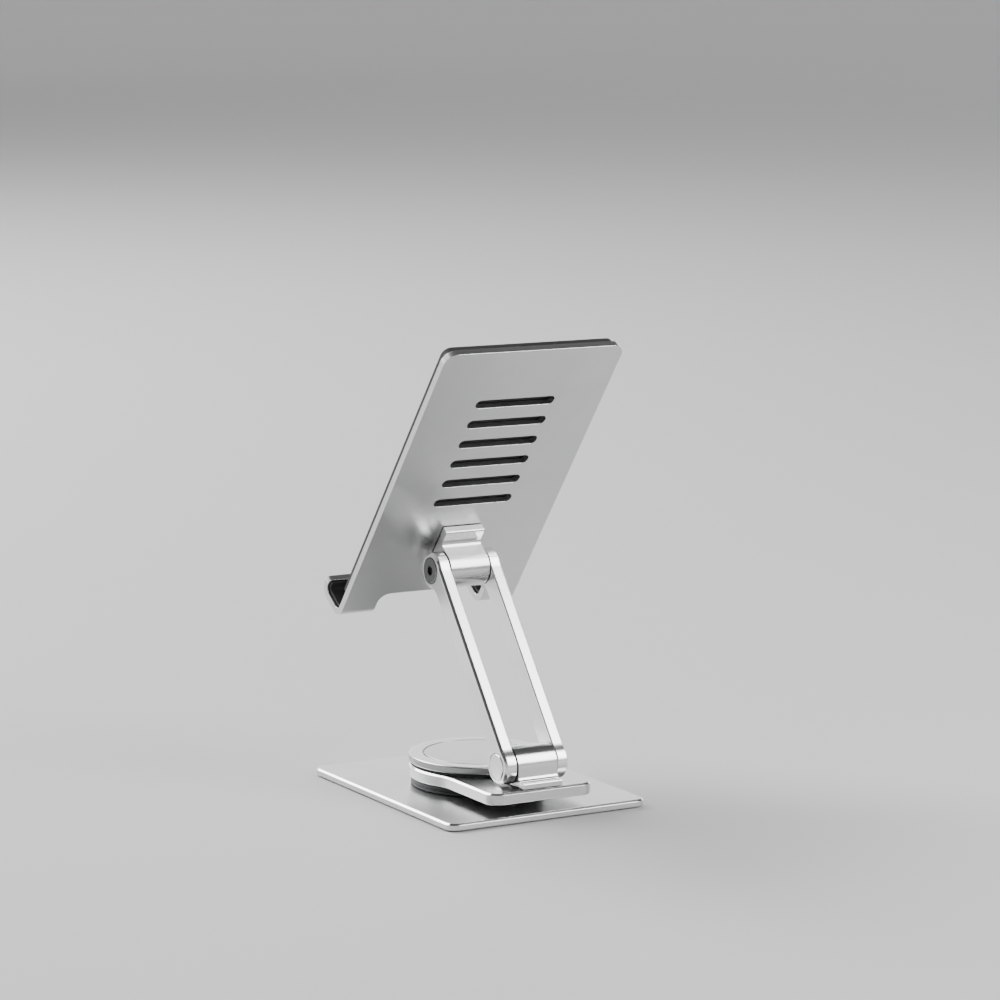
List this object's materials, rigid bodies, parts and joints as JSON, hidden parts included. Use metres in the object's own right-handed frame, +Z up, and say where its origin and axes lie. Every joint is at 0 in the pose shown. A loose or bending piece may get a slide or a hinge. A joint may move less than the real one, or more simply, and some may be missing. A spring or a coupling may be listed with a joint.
{
  "type": "tablet stand",
  "caption": "Folding desk stand for a tablet: flat base plate, swivel platform, paired arms with friction hinges, and a slotted back panel with padded hooks.",
  "frame": {"origin": "middle of the base plate on the table, on the swivel axis", "axes": "+Z up; -Y toward the user and the screen, so the panel's back faces +Y; +X along the hinge axes"},
  "size_m": [0.076, 0.094, 0.1554],
  "materials": {
    "satin_aluminium": "fine bead-blasted and clear anodised, with bright cut chamfers",
    "bright_aluminium": "smooth satin anodised, brighter than the plates",
    "stainless_steel": "turned and lightly polished",
    "black_steel": "black oxide, oiled",
    "black_silicone": "matt moulded silicone with a fine grain",
    "bearing_plastic": "turned black acetal"
  },
  "bodies": {
    "base": {"base_plate": "satin_aluminium", "foot_pad": "black_silicone", "swivel_stud": "stainless_steel", "bearing_ring": "bearing_plastic", "wave_washer": "black_steel", "lock_nut": "stainless_steel"},
    "turntable": {"swivel_platform": "bright_aluminium", "cap_gasket": "black_silicone", "cap_ring": "bright_aluminium", "cap_disc": "satin_aluminium", "lower_hinge_block": "bright_aluminium", "lower_block_screw_1": "black_steel", "lower_block_screw_2": "black_steel", "lower_thrust_washer_left": "black_steel", "lower_thrust_washer_right": "black_steel"},
    "arms": {"arm_left": "bright_aluminium", "arm_right": "bright_aluminium", "lower_axle": "stainless_steel", "lower_end_screw_left": "stainless_steel", "lower_end_screw_right": "stainless_steel", "upper_axle": "stainless_steel", "upper_end_screw_left": "stainless_steel", "upper_end_screw_right": "stainless_steel"},
    "panel": {"back_panel": "satin_aluminium", "upper_hinge_block": "bright_aluminium", "upper_block_screw_1": "black_steel", "upper_block_screw_2": "black_steel", "upper_block_screw_3": "black_steel", "upper_block_screw_4": "black_steel", "upper_thrust_washer_left": "black_steel", "upper_thrust_washer_right": "black_steel", "front_pad": "black_silicone", "hook_pad_left": "black_silicone", "hook_pad_right": "black_silicone"}
  },
  "joints": [
    {"name": "swivel", "type": "hinge", "parent": "base", "child": "turntable", "pos_m": [0, 0, 0.0045], "axis": [0, 0, 1], "continuous": true},
    {"name": "lower_hinge", "type": "hinge", "parent": "turntable", "child": "arms", "pos_m": [0, 0.0325, 0.0162], "axis": [1, 0, 0], "range_deg": [-45, 32]},
    {"name": "tilt_hinge", "type": "hinge", "parent": "arms", "child": "panel", "pos_m": [0, -0.01192, 0.07451], "axis": [1, 0, 0], "range_deg": [-85, 35]}
  ]
}
